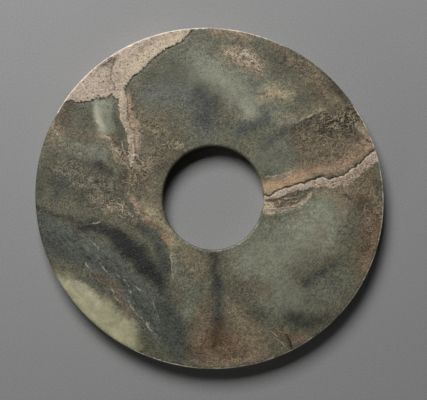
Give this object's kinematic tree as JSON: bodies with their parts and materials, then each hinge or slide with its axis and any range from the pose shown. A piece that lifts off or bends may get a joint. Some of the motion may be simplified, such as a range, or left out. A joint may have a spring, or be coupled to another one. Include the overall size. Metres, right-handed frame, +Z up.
{
  "type": "jade bi disc",
  "caption": "Flat round ring of mottled jade with a hole drilled from both faces, a pale crust by the rim, a crack and a flaked hollow; it lies loose on its lower face.",
  "frame": {"origin": "on the surface that the disc lies on, under the middle of its outline", "axes": "+Z up through the disc, square to both faces; +X towards the end of the crack at the rim; +Y towards the crust's side of the rim"},
  "size_m": [0.1818, 0.1782, 0.0123],
  "materials": {
    "jade": "worn polish, mottled and partly calcified"
  },
  "bodies": {
    "root": {"jade_disc": "jade"}
  },
  "joints": []
}
